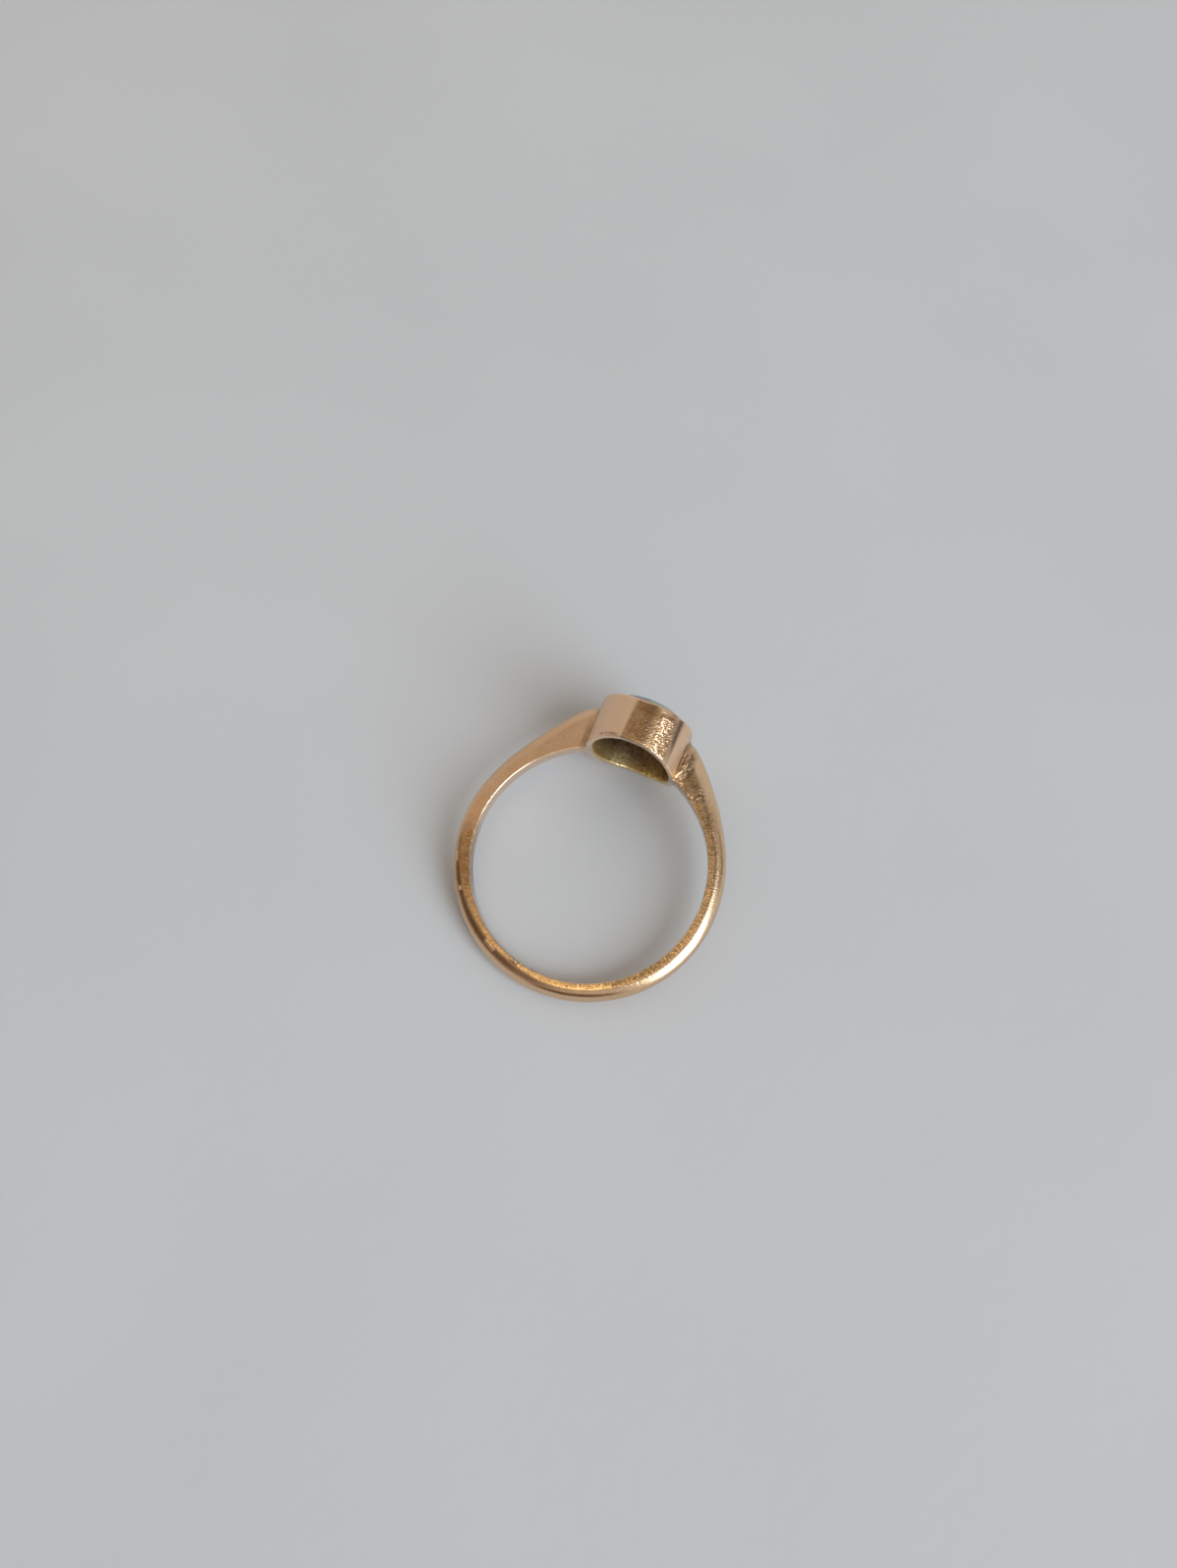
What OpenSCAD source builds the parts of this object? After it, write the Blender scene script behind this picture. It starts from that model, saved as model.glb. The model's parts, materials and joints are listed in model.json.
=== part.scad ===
// Bezel set ring: a gold shank whose shoulders rise to an open backed oval collet, with a cabochon
// rubbed over in it. It lies on its side as it rests on a table, on the low end of the collet and the
// lower edge of the shank's back. Millimetres. The origin is the finger hole's centre, +Y runs to the
// collet and +Z is up.

/* [Finger hole] */
// Inside diameter of the ring
finger_d = 17.0; // [15.5:0.1:20]

/* [Shank] */
// Width of the shank along the finger, at its back
shank_w = 1.6; // [1.4:0.1:2.4]
// Radial thickness of the shank at its back
shank_t = 1.3; // [1.0:0.05:1.5]
// Height of the flat side between the finger hole and the rounded outside
side_h = 0.35; // [0.2:0.05:0.5]
// Width of the shoulders along the finger, where they meet the collet
shoulder_w = 1.4; // [1.2:0.1:2.4]
// Radial height of the shoulders where they meet the collet
shoulder_t = 3.0; // [2.2:0.05:3.1]

/* [Cabochon] */
// Length of the cabochon along the finger
stone_l = 8.0; // [7.6:0.1:9]
// Width of the cabochon across the finger
stone_w = 6.0; // [5.4:0.1:6.6]
// Height of the upright edge of the cabochon, from its back to the dome
girdle_h = 0.45; // [0.3:0.05:0.6]
// Height of the dome above its upright edge
dome_h = 1.3; // [0.9:0.05:1.8]
// Gap left all round between the cabochon and the metal
stone_gap = 0.05; // [0.03:0.01:0.1]

/* [Collet] */
// Thickness of the collet's wall round the cabochon
wall_t = 0.45; // [0.4:0.05:0.6]
// Thickness of the collet's wall at its open back
back_wall_t = 0.55; // [0.45:0.05:0.65]
// Height of the collet's rim above the top of the finger hole
collet_h = 3.2; // [3.1:0.05:3.6]
// Height of the rubbed over edge that holds the cabochon
lip_h = 0.35; // [0.3:0.05:0.45]
// How far that edge leans in over the cabochon
lip_in = 0.14; // [0.1:0.02:0.2]
// Width of the ledge that the cabochon sits on
ledge_w = 0.35; // [0.25:0.05:0.5]
// Thickness of that ledge
ledge_t = 0.3; // [0.25:0.05:0.4]

/* [Hidden] */

finger_r = finger_d / 2;
// How far cutting bodies run past what they cut
past = 0.5;
// Half sizes of the collet's outside, across the finger and along it
collet_a = stone_w / 2 + stone_gap + wall_t;
collet_b = stone_l / 2 + stone_gap + wall_t;
// Radii from the finger axis, measured along the collet's own axis
rim_y = finger_r + collet_h;
girdle_top_y = rim_y - lip_h;
stone_back_y = girdle_top_y - girdle_h;
ledge_top_y = stone_back_y - stone_gap;
ledge_low_y = ledge_top_y - ledge_t;
// The ring leans until the collet's low end and the edge of the shank's back both touch the table
rest_tilt = atan((collet_b - shank_w / 2) / (2 * finger_r + side_h));

// Radius at which the collet's and its hollow's blocks start, inside the finger hole
collet_root_y = sqrt(pow(finger_r, 2) - pow(collet_a, 2)) - past;

// Fullness of the ovals and of the band's rounded outside: 2 is an ellipse
oval_n = 2.35;
crown_n = 2.1;
oval_sides = 64;
dome_steps = 7;
// Angle up the dome at which its small flat tip closes it
dome_stop = 86;
corner_steps = 7;
band_sides = 90;
// Depth below the finger hole's wall at which the swept band starts, to be bored out
band_under = 0.3;

// Sections of the band by their angle from the collet's axis: share of the way from the shank's
// thickness (0) to the shoulder's (1) on the right and on the left, the same for the width, and
// fullness of the flank (2 is an ellipse)
SECTION_ANGLE = 0;
SECTION_RISE_RIGHT = 1;
SECTION_RISE_LEFT = 2;
SECTION_SPREAD = 3;
SECTION_FLANK = 4;
sections = [
    [0, 0.69, 0.69, 1.00, 4.2],
    [16, 1.09, 1.13, 1.00, 4.2],
    [21, 1.04, 1.17, 1.00, 4.2],
    [26, 0.82, 0.94, 0.92, 4.1],
    [32, 0.60, 0.67, 0.80, 4.0],
    [40, 0.35, 0.40, 0.60, 3.5],
    [50, 0.15, 0.17, 0.36, 3.0],
    [60, 0.06, 0.07, 0.18, 2.6],
    [72, 0.02, 0.01, 0.05, 2.3],
    [90, 0.00, 0.00, 0.00, 2.2],
    [180, 0.00, 0.00, 0.00, 2.2],
];

// Value of one column of the table at an angle from the collet's axis
function section_at(angle, column) =
    lookup(angle, [for (s = sections) [s[SECTION_ANGLE], s[column]]]);

function signed_pow(value, power) = sign(value) * pow(abs(value), power);

// One point of an oval with half sizes a and b
function oval_point(angle, a, b) = [
    a * signed_pow(cos(angle), 2 / oval_n),
    b * signed_pow(sin(angle), 2 / oval_n)
];

function oval(a, b) =
    [for (i = [0 : oval_sides - 1]) oval_point(360 * i / oval_sides, a, b)];

// Outside of the band's section from its lower side to its upper one: [radius, place along the finger]
function band_section(thick, half_w, flank) = concat(
    [[finger_r - band_under, -half_w]],
    [for (i = [0 : 2 * corner_steps])
        let (a = -90 + 90 * i / corner_steps)
        [
            finger_r + side_h + (thick - side_h) * pow(abs(cos(a)), 2 / crown_n),
            half_w * signed_pow(sin(a), 2 / flank)
        ]],
    [[finger_r - band_under, half_w]]
);

// Section of the band at an angle from the collet's axis, placed round the finger
function band_ring(turn) =
    let (
        away = min(turn, 360 - turn),
        rise = section_at(away, turn < 180 ? SECTION_RISE_RIGHT : SECTION_RISE_LEFT),
        spread = section_at(away, SECTION_SPREAD),
        thick = shank_t + (shoulder_t - shank_t) * rise,
        half_w = (shank_w + (shoulder_w - shank_w) * spread) / 2
    )
    [for (p = band_section(thick, half_w, section_at(away, SECTION_FLANK)))
        [p[0] * sin(turn), p[0] * cos(turn), p[1]]];

// Two triangles between two neighbouring rings of count points each
function quad(ring_a, ring_b, i, count) =
    let (j = (i + 1) % count, a = ring_a * count, b = ring_b * count)
    [[a + i, b + i, b + j], [a + i, b + j, a + j]];

// Stands children up so that their Z runs along the collet's axis and their Y along the finger
module on_collet_axis() rotate([-90, 0, 0]) mirror([0, 1, 0]) children();

// Leans the ring into the way it rests
module at_rest() rotate([rest_tilt, 0, 0]) children();

// Oval block between two radii
module oval_block(a, b, from_y, to_y)
    on_collet_axis() translate([0, 0, from_y])
        linear_extrude(height = to_y - from_y) polygon(oval(a, b));

// Oval block whose outline changes evenly from one radius to the next, as a stack of named levels:
// each level is [radius, growth of the half sizes]
module oval_stack(a, b, levels) {
    points = [for (level = levels) for (p = oval(a + level[1], b + level[1])) [p[0], p[1], level[0]]];
    walls = [for (k = [0 : len(levels) - 2]) for (i = [0 : oval_sides - 1])
        each quad(k, k + 1, i, oval_sides)];
    low_cap = [[for (i = [0 : oval_sides - 1]) i]];
    high_cap = [[for (i = [oval_sides - 1 : -1 : 0]) (len(levels) - 1) * oval_sides + i]];
    on_collet_axis() polyhedron(points, concat(low_cap, walls, high_cap), convexity = 4);
}

// Shank and shoulders as one closed band, still running on through the collet
module band() {
    count = len(band_section(shank_t, shank_w, 2));
    rings = [for (k = [0 : band_sides - 1]) band_ring(360 * k / band_sides)];
    points = [for (ring = rings) for (p = ring) p];
    faces = [for (k = [0 : band_sides - 1]) for (i = [0 : count - 1])
        each quad(k, (k + 1) % band_sides, i, count)];
    polyhedron(points, faces, convexity = 6);
}

// Everything that is hollow in the collet: open back, seat and the lip's mouth
module collet_hollow() {
    inner_a = collet_a - wall_t;
    inner_b = collet_b - wall_t;
    oval_block(collet_a - back_wall_t, collet_b - back_wall_t, collet_root_y - past, ledge_low_y);
    oval_block(inner_a - ledge_w, inner_b - ledge_w, collet_root_y - past, rim_y);
    oval_stack(inner_a, inner_b, [
        [ledge_top_y, 0],
        [girdle_top_y, 0],
        [rim_y + past, -lip_in * (lip_h + past) / lip_h],
    ]);
}

// Shank, shoulders and collet, soldered into one piece
module gold_ring() color("goldenrod") at_rest() difference() {
    union() {
        band();
        oval_block(collet_a, collet_b, collet_root_y, rim_y);
    }
    collet_hollow();
    cylinder(r = finger_r, h = 3 * collet_b, center = true, $fn = 128);
}

// Cabochon: flat back, upright edge and a dome
module opal_cabochon() color("lightsteelblue") at_rest()
    oval_stack(stone_w / 2, stone_l / 2, concat(
        [[stone_back_y, 0], [girdle_top_y - stone_gap, 0]],
        [for (k = [1 : dome_steps])
            let (a = dome_stop * k / dome_steps)
            [
                girdle_top_y - stone_gap + dome_h * sin(a),
                -(stone_w / 2) * (1 - cos(a))
            ]]
    ));

gold_ring();
opal_cabochon();
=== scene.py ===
"""Bezel set ring: the looks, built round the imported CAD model.

The gold is one soldered skin, worked out as a distance field from the CAD's sizes, with softened edges,
solder in the corners and the small waves of handwork. The opal is a domed mesh. Sizes are in millimetres
in the ring's own frame (X across the finger, Y to the stone, Z along the finger), and are leaned and
scaled to the CAD frame when a mesh is made.
"""
import json
import math

import bpy
import numpy as np
from mathutils import Matrix, Vector


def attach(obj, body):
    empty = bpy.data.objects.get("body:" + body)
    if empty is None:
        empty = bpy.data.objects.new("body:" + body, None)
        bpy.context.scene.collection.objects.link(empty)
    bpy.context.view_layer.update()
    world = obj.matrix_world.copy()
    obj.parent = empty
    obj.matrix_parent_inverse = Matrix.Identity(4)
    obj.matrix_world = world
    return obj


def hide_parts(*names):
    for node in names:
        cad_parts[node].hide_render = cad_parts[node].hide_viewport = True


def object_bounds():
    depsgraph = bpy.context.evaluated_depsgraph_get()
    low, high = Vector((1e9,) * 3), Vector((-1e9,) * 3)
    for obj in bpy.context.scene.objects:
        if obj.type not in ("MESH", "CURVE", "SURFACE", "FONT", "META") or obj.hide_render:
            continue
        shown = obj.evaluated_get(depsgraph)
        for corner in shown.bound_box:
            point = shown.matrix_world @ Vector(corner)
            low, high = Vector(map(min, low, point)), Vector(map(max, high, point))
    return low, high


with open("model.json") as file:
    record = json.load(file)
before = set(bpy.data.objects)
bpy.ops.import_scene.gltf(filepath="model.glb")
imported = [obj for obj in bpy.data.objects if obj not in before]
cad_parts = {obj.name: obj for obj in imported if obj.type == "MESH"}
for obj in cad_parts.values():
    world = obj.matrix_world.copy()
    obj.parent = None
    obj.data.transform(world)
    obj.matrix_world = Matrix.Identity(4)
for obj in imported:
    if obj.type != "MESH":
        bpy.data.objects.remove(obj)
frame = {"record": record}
cad_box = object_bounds()

# Frame of the ring, from the CAD's one mount
MM = 0.001
hole = frame["record"]["mounts"][0]
FINGER_R = hole["dims"]["r_mm"]
REST_TILT = math.atan2(-hole["axis"][1], hole["axis"][2])
FLOOR_Z = cad_box[0][2]

# Shank and shoulders, millimetres
SHANK_W = 1.6
SHANK_T = 1.325        # a little over the CAD's, as the softening and the waves take some off
SHOULDER_W = 1.4
SHOULDER_T = 3.0
# The band's sections: angle from the collet in degrees, share of the way from the shank's thickness to
# the shoulder's on the right and on the left, and the same for the width
SECTIONS = np.array([
    [0, 0.69, 0.69, 1.00],
    [16, 1.11, 1.14, 1.00],
    [21, 1.06, 1.18, 1.00],
    [26, 0.83, 0.94, 0.92],
    [32, 0.60, 0.67, 0.80],
    [40, 0.35, 0.40, 0.60],
    [50, 0.15, 0.17, 0.36],
    [60, 0.06, 0.07, 0.18],
    [72, 0.02, 0.01, 0.05],
    [90, 0.00, 0.00, 0.00],
    [180, 0.00, 0.00, 0.00],
])
SECTION_SMOOTH = 5.0   # degrees to each side over which the table's corners are eased
SECTION_STEP = 0.5     # degrees between the points of the eased curves
# The band's rounded outside by the angle from the collet in degrees, positive on the right: size of its
# two arcs across the band and how far they reach in from the outside, both over half the band's width,
# and the share of their bend that is left where the flat worn outside cuts them
CROWN = np.array([
    [-180, 1.30, 1.16, 1.0],
    [-173, 1.30, 1.30, 1.0],
    [-158, 1.40, 1.32, 1.0],
    [-143, 1.13, 1.22, 1.0],
    [-128, 0.98, 0.98, 1.0],
    [-113, 0.77, 0.77, 1.0],
    [-98, 0.62, 0.62, 1.0],
    [-83, 0.60, 0.60, 1.0],
    [-65, 0.90, 0.90, 1.0],
    [-45, 1.13, 1.12, 1.0],
    [0, 1.13, 1.12, 1.0],
    [15, 2.00, 1.60, 1.0],
    [42, 2.00, 1.60, 1.0],
    [65, 1.13, 1.12, 1.0],
    [87, 1.35, 1.16, 1.0],
    [105, 1.50, 1.03, 0.88],
    [132, 1.50, 1.06, 0.88],
    [150, 1.40, 1.10, 1.0],
    [157, 1.40, 1.10, 1.0],
    [172, 1.40, 1.10, 1.0],
    [180, 1.30, 1.16, 1.0],
])

# Collet and cabochon, millimetres
STONE_L = 8.0
STONE_W = 6.0
GIRDLE_H = 0.45
DOME_H = 1.24           # a little under the CAD's, to stay inside it with the fuller sides
DOME_FULL = 0.87        # below 1 the dome's sides are fuller than an ellipse's
STONE_GAP = 0.05
WALL_T = 0.45
BACK_WALL_T = 0.52      # a little under the CAD's, as the rim's edges are rounded
COLLET_H = 3.2
LIP_H = 0.35
LIP_IN = 0.14
LEDGE_W = 0.35
LEDGE_T = 0.3
OVAL_N = 2.35           # fullness of the ovals: 2 is an ellipse

COLLET_A = STONE_W / 2 + STONE_GAP + WALL_T
COLLET_B = STONE_L / 2 + STONE_GAP + WALL_T
RIM_Y = FINGER_R + COLLET_H
GIRDLE_TOP_Y = RIM_Y - LIP_H
STONE_BACK_Y = GIRDLE_TOP_Y - GIRDLE_H
LEDGE_TOP_Y = STONE_BACK_Y - STONE_GAP
LEDGE_LOW_Y = LEDGE_TOP_Y - LEDGE_T

# Softening of the metal's edges and corners, millimetres
SOFT_INNER = 0.09      # upper edge of the band at the finger hole
SOFT_UNDER = 0.30      # its lower edge there, worn round
SOFT_OUTER = 0.12      # where the band's outside is cut flat
SOFT_RIM = 0.24        # edge of the collet's open end
SOFT_BORE = 0.06       # edges of the whole body at the finger hole
SOFT_TOP = 0.15        # outer edge round the stone
SOFT_HOLLOW = 0.07     # corners of the collet's hollow
SOFT_MOUTH = 0.16      # edges of the collet's hollow
SOLDER = 0.24          # corners between the band and the collet
WAVE = 0.010           # height of the handwork's waves
CELL = 0.09            # size of the skin's mesh
SETTLE_ROUNDS = 3      # times that its points are evened out

# A shallow upright groove on the collet's wall: its place, width at the foot and at the rim, depth,
# height above the finger hole's wall at which it is fully deep, and the width of its darkening over its
# own
GROOVE_X, GROOVE_Z = 2.77, 3.10
GROOVE_W = (0.08, 0.34)
GROOVE_DEPTH = 0.07
GROOVE_FADE = 1.4
GROOVE_DARK_SPREAD = 1.25

# Wear of the band and painted light on it, by the angle from the collet in degrees, positive on the
# right: brown film, which on the band's left, from about -143 to -99 degrees, is also painted shade,
# grain, how far out from the finger hole they reach in millimetres, and how pale, with a painted sheen,
# and how rough it is beyond that
WEAR_AND_PAINTED_LIGHT = np.array([
    [-180, 0.16, 0.25, 0.65, 0.0, 0.00],
    [-158, 0.14, 0.25, 0.65, 0.0, 0.00],
    [-143, 0.34, 0.35, 1.00, 0.0, 0.00],
    [-128, 0.55, 0.50, 1.10, 0.0, 0.00],
    [-116, 0.95, 0.50, 1.10, 0.0, 0.00],
    [-99, 0.72, 0.45, 1.05, 0.0, 0.00],
    [-88, 0.14, 0.25, 1.00, 0.0, 0.00],
    [-60, 0.12, 0.15, 1.50, 0.0, 0.00],
    [-15, 0.08, 0.10, 2.50, 0.0, 0.00],
    [15, 0.50, 0.6, 1.60, 0.5, 0.04],
    [37, 0.55, 0.8, 1.20, 1.0, 0.04],
    [60, 0.50, 0.8, 0.95, 0.8, 0.10],
    [85, 0.44, 0.6, 0.85, 0.4, 0.18],
    [95, 0.34, 0.8, 0.60, 0.1, 0.15],
    [107, 0.12, 0.9, 0.55, 0.0, 0.10],
    [127, 0.44, 1.0, 0.70, 0.0, 0.10],
    [144, 0.40, 1.0, 0.60, 0.0, 0.08],
    [152, 0.14, 0.6, 0.50, 0.0, 0.04],
    [180, 0.16, 0.25, 0.65, 0.0, 0.00],
])
WEAR_SOFT = 0.5        # millimetres over which the film and the grain end
# Fields of the collet's wall: middle and half size along the oval and along Y, softness of the borders,
# and strength. The way along the oval is zero at its upper end and positive to the right
TARNISH = [
    ((0.33, 9.9), (1.13, 2.4), 0.20, 0.80),
    ((0.45, 11.10), (0.85, 0.32), 0.25, 0.95),
    ((1.55, 11.2), (0.60, 0.25), 0.25, 0.6),
    ((2.00, 9.7), (0.95, 1.6), 0.45, 0.34),
]
CLEAN_WALL = [
    ((-2.6, 9.9), (1.85, 3.0), 0.12, 1.0),
    ((4.4, 9.9), (0.95, 3.0), 0.10, 1.0),
]
DENTED_WALL = [
    ((2.22, 9.75), (0.76, 1.40), 0.25, 1.0),
    ((0.9, 9.6), (0.9, 1.2), 0.5, 0.25),
]
TARNISH_SLANT = 0.085  # how far the film's fields lean to the right for each millimetre along Y
# Spots of the shoulders and the shank: the place, how far each reaches along X, Y and Z, and strength
PATINA_MARKS = [
    ((4.1, 9.2, 0.7), (0.30, 0.9, 0.6), 0.9),
    ((4.75, 8.1, 0.8), (0.75, 0.6, 0.5), 0.85),
    ((5.9, 6.9, 0.8), (0.8, 0.8, 0.5), 0.55),
    ((7.0, 5.6, 0.8), (0.7, 0.9, 0.5), 0.45),
    ((-3.75, 8.6, 0.9), (0.2, 1.3, 0.7), 0.6),
    ((3.75, 8.9, 0.8), (0.2, 1.3, 0.8), 0.9),
]
BURNT_MARKS = [
    ((4.05, 9.55, 0.6), (0.32, 0.80, 0.5), 1.0),
    ((4.35, 8.55, 0.7), (0.32, 0.55, 0.5), 1.2),
    ((-3.45, 9.2, 1.2), (0.25, 1.7, 1.0), 0.8),
    ((5.15, 7.95, 0.8), (0.45, 0.25, 0.5), 0.8),
    ((5.65, 7.2, 0.8), (0.25, 0.45, 0.5), 0.6),
    ((6.9, 5.9, 0.8), (0.25, 0.8, 0.5), 0.6),
    ((5.74, 7.73, 0.7), (0.09, 0.07, 0.4), 2.2),
    ((5.90, 7.48, 0.7), (0.07, 0.09, 0.4), 2.2),
    ((5.62, 7.46, 0.7), (0.08, 0.07, 0.4), 2.2),
    ((5.52, 7.20, 0.7), (0.09, 0.08, 0.4), 2.2),
    ((6.05, 7.20, 0.7), (0.06, 0.07, 0.4), 2.2),
]
DENT_MARKS = [
    ((3.9, 8.9, 0.7), (0.4, 1.3, 0.6), 1.0),
    ((5.2, 7.1, 0.8), (0.8, 0.6, 0.5), 0.5),
]
PIT_MARKS = [
    ((5.5, 7.85, 0.8), (0.6, 0.5, 0.5), 1.0),
    ((8.6, 2.2, 0.8), (0.9, 2.8, 0.6), 0.5),
]
# Dark solder line on the collet's wall, just above its open end: from and to along the oval, height
# above the finger hole's wall, width, and softness of its ends
SOLDER_LINE = (-2.7, -0.9)
SOLDER_LINE_OUT = 0.26
SOLDER_LINE_W = 0.07
SOLDER_LINE_SOFT = 0.3
# Ridges of solder at the right joint, and places on the open end's edge and on the shank, raised a little
# and painted with bright glints: from, to, half width and strength
RIDGES_AND_GLINTS = [
    ((3.30, 7.90, 1.25), (3.56, 8.28, 0.75), 0.12, 1.0),
    ((3.56, 8.28, 0.73), (3.74, 8.66, 0.70), 0.11, 0.9),
    ((3.90, 8.90, 0.68), (3.98, 9.50, 0.64), 0.08, 0.4),
    ((3.78, 9.45, 0.66), (3.88, 10.2, 0.60), 0.07, 0.4),
    ((3.50, 7.86, 0.72), (4.10, 7.80, 0.71), 0.13, 0.7),
    ((5.02, 7.12, 0.75), (5.14, 7.14, 0.75), 0.08, 0.8),
    ((1.87, 8.38, 4.03), (3.10, 7.98, 2.44), 0.12, 0.6),
    ((3.10, 7.98, 2.44), (3.42, 7.90, 1.25), 0.15, 1.0),
    ((-9.10, -2.82, 0.72), (-8.90, -3.38, 0.72), 0.10, 0.8),
    ((-7.92, -5.02, 0.76), (-7.82, -5.20, 0.76), 0.07, 1.0),
    ((-4.63, -7.86, 0.78), (-3.93, -8.24, 0.78), 0.09, 0.8),
    ((-2.36, -8.38, 0.80), (-1.88, -8.50, 0.80), 0.09, 0.7),
]
# Dark lines beside the ridges of the right joint
BURNT_LINES = [
    ((4.14, 8.75, 0.70), (4.14, 9.95, 0.60), 0.12, 1.7),
    ((3.60, 8.75, 0.74), (3.68, 9.90, 0.64), 0.08, 1.5),
    ((4.42, 8.50, 0.72), (4.50, 9.20, 0.66), 0.11, 1.5),
]
# Seams in the corners between the band and the collet: half width, height above the finger hole's wall
# at which they are fully brown, and their least share of brown below it
SEAM_W = 0.2
SEAM_FULL = 0.35
SEAM_LEAST = 0.3
# The collet's inside, painted with shade and light: how far it goes past the hollow's edge, and over how
# much it ends
HOLLOW_PAST = 0.10
HOLLOW_SOFT = 0.06
# The band's edge at the finger hole, polished by the finger and painted brighter as a highlight: height
# up to which it is bright, height over which that ends, and the share of the grain that is polished away
BORE_FULL = 0.03
BORE_SOFT = 0.05
BORE_POLISH = 0.7
WALL_GRAIN = 0.1       # grain of the collet's wall
GRAIN_BEYOND = 0.12    # share of the band's grain that is left beyond its reach
# The film is more olive to the right of a slanted line: where it crosses the middle, and its slant
OLIVE_FROM = 0.2
OLIVE_SLANT = 0.35
EDGE_BEND = 8          # curvature, over a millimetre, that counts as a full edge
SCRATCH_ACROSS = 9.0   # how fast the scratches change across the band
SCRATCH_ALONG = 0.8    # and along it
STROKE_LEAN = 27       # degrees that the collet's strokes rise to the right
STROKE_STRETCH = 0.34  # their width over their length

# The stone's mesh
STONE_SIDES = 144
STONE_CHAMFER = 0.08   # cut off its lower edge
DOME_RINGS = 30
DOME_STOP = 89         # degrees up the dome at which a small flat tip closes it
DOME_LEAD = 0.1        # height of the last upright step below the dome

# Colours of the gold: clean metal, a paler colour with a painted sheen, painted highlights and glints,
# brown films, dirt, and the painted shade and painted light of the collet's inside
ROSE_GOLD = (0.800, 0.556, 0.372)
YELLOW_GOLD = (0.785, 0.540, 0.335)
CLEAN_GOLD = (0.850, 0.615, 0.430)
# paler colour with a painted sheen
PALE_SHEEN_GOLD = (0.850, 0.650, 0.435)
# painted highlight of the finger hole's edge
BORE_HIGHLIGHT_GOLD = (0.960, 0.750, 0.560)
# painted highlight of rubbed convex edges
EDGE_HIGHLIGHT_GOLD = (0.95, 0.72, 0.52)
# painted glints on the ridges
GLINT_GOLD = (1.000, 0.680, 0.400)
BROWN_FILM = (0.335, 0.197, 0.095)
OLIVE_FILM = (0.315, 0.213, 0.108)
BURNT_BROWN = (0.120, 0.075, 0.048)
PIT_BROWN = (0.13, 0.075, 0.04)
DIRT_BROWN = (0.06, 0.04, 0.025)
# Painted shade behind the stone and painted light at the open end of the collet's inside
SHADED_INSIDE = ((0.285, 0.180, 0.112), (0.540, 0.380, 0.215))
LIT_INSIDE = ((0.760, 0.510, 0.235), (1.000, 0.830, 0.430))
LIT_BELOW = (9.1, 10.1)   # place along Y, clouds added, over which the painted light of the inside turns into its painted shade
LIT_SLANT = 0.25          # and how much less far it reaches for each millimetre to the right
# Heights of the gold's fine relief, millimetres
SCRATCH_H = 0.0035
FINE_H = 0.010
STROKE_H = 0.030
DENT_H = 0.095
PIT_H = 0.02
RIDGE_H = 0.05

# Colours of the opal and the paper
MILKY = (0.22, 0.235, 0.28)
VIOLET = (0.180, 0.170, 0.245)
GREEN = (0.25, 0.37, 0.23)
ORANGE = (0.48, 0.31, 0.22)
PAPER = ((0.560, 0.570, 0.585), (0.585, 0.595, 0.610))
PAPER_RELIEF = 0.02    # millimetres
FLOOR_SIZE = 3.0       # metres

# The photograph's view: the camera looks down steeply, from the side of the shank's back
CAM_TURN = 22.8        # degrees round from looking along +Y
CAM_TILT = 25.2        # degrees from straight down
CAM_FAR = 84.76        # millimetres along its axis to the plane of the finger hole's centre
CAM_SHIFT = (0.016, -5.781)   # millimetres that the centre lies right of and above the axis
CAM_CLIP = (0.002, 20)        # metres
PHOTO_W, PHOTO_H = 1200, 1598
FOCAL_PX = 1200.0
SENSOR = 36.0

# Light: one soft window, and a room of one brightness with patches. A way is an azimuth and an elevation
# in degrees, as toward() takes them
WINDOW_WAY = (-46, 34)
WINDOW_FAR = 1.5              # metres
WINDOW_SIZE = (0.85, 1.35)    # metres
WINDOW_RADIANCE = 5.4
WINDOW_COLOUR = (0.87, 1.0, 1.12)
ROOM_WALLS = (0.575, 0.525, 0.480)
# Each patch: its way, the degrees up to which it is full and at which it has ended, and its colour
ROOM_PATCHES = [
    ((-155, 33), 7, 41, (0.150, 0.105, 0.070)),
    ((-104, 8), 15, 27, (0.165, 0.120, 0.085)),
    ((5, 17), 6, 18, (0.17, 0.13, 0.10)),
    ((11, 85), 8, 15, (0.19, 0.158, 0.122)),
    ((-142, 75), 4, 16, (0.58, 0.385, 0.205)),
    ((-122, 75), 2, 8.0, (2.7, 2.35, 1.3)),
]


def to_cad(points):
    """Leans points of the ring's frame into the rest pose, in metres."""
    c, s = math.cos(REST_TILT), math.sin(REST_TILT)
    x, y, z = points[..., 0], points[..., 1], points[..., 2]
    return np.stack([x, y * c - z * s, y * s + z * c], -1) * MM


def smooth_max(a, b, soft):
    """The larger of two distances, with the edge between them softened."""
    share = np.clip(0.5 + 0.5 * (a - b) / soft, 0, 1)
    return b + (a - b) * share + soft * share * (1 - share)


def smooth_min(a, b, soft):
    """The smaller of two distances, with the corner between them filled."""
    return -smooth_max(-a, -b, soft)


def eased(column):
    """One column of the section table as a smooth curve over the angle."""
    angle = np.arange(-180, 360 + SECTION_STEP, SECTION_STEP)
    rough = np.interp(np.abs(np.where(angle > 180, 360 - angle, angle)), SECTIONS[:, 0], column)
    window = np.hanning(int(SECTION_SMOOTH / SECTION_STEP) * 2 + 1)
    smooth = np.convolve(rough, window / window.sum(), "same")
    keep = (angle >= 0) & (angle <= 180)
    return angle[keep], smooth[keep]


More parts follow.
